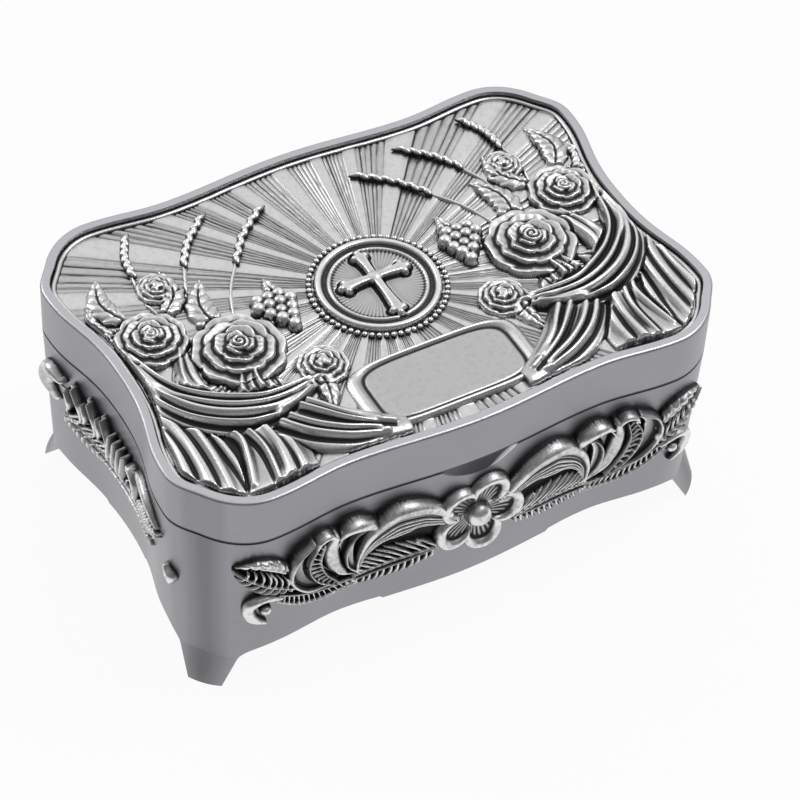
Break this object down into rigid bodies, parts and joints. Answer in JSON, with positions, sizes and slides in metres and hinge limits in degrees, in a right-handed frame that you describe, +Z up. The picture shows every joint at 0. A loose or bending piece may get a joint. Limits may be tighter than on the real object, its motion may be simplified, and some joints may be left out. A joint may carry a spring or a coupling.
{
  "type": "rosary box",
  "caption": "Small cast pewter-finish keepsake box with a serpentine outline, hinged relief lid, applied flower and leaf castings, tapered feet and a velvet lining.",
  "frame": {"origin": "on the surface the box stands on, below the centre of its outline", "axes": "+X along the length to the right seen from the front, +Y from the front to the hinged back, +Z up"},
  "size_m": [0.083, 0.0596, 0.0361],
  "materials": {
    "lid_pewter": "satin brushed antique pewter plating",
    "base_pewter": "satin brushed antique pewter plating",
    "foot_pewter": "darker satin antique pewter plating",
    "relief_pewter": "polished high relief with black patina in the hollows",
    "ornament_pewter": "polished high relief with black patina in the hollows",
    "pin_steel": "plain drawn steel",
    "velvet": "short-pile velvet"
  },
  "bodies": {
    "base": {"base_shell": "base_pewter", "base_wall_lining": "velvet", "base_floor_pad": "velvet", "foot_front_left": "foot_pewter", "foot_front_right": "foot_pewter", "foot_back_left": "foot_pewter", "foot_back_right": "foot_pewter", "hinge_pin_left": "pin_steel", "hinge_pin_right": "pin_steel", "front_rosette": "ornament_pewter", "front_spray_left": "ornament_pewter", "front_spray_right": "ornament_pewter", "back_rosette": "ornament_pewter", "back_spray_left": "ornament_pewter", "back_spray_right": "ornament_pewter", "side_garland_left": "ornament_pewter", "side_garland_right": "ornament_pewter"},
    "lid": {"lid_shell": "lid_pewter", "lid_relief_plaque": "relief_pewter", "lid_lining_pad": "velvet"}
  },
  "joints": [
    {"name": "lid_hinge", "type": "hinge", "parent": "base", "child": "lid", "pos_m": [0, 0.0281, 0.0281], "axis": [-1, 0, 0], "range_deg": [0, 100]}
  ]
}
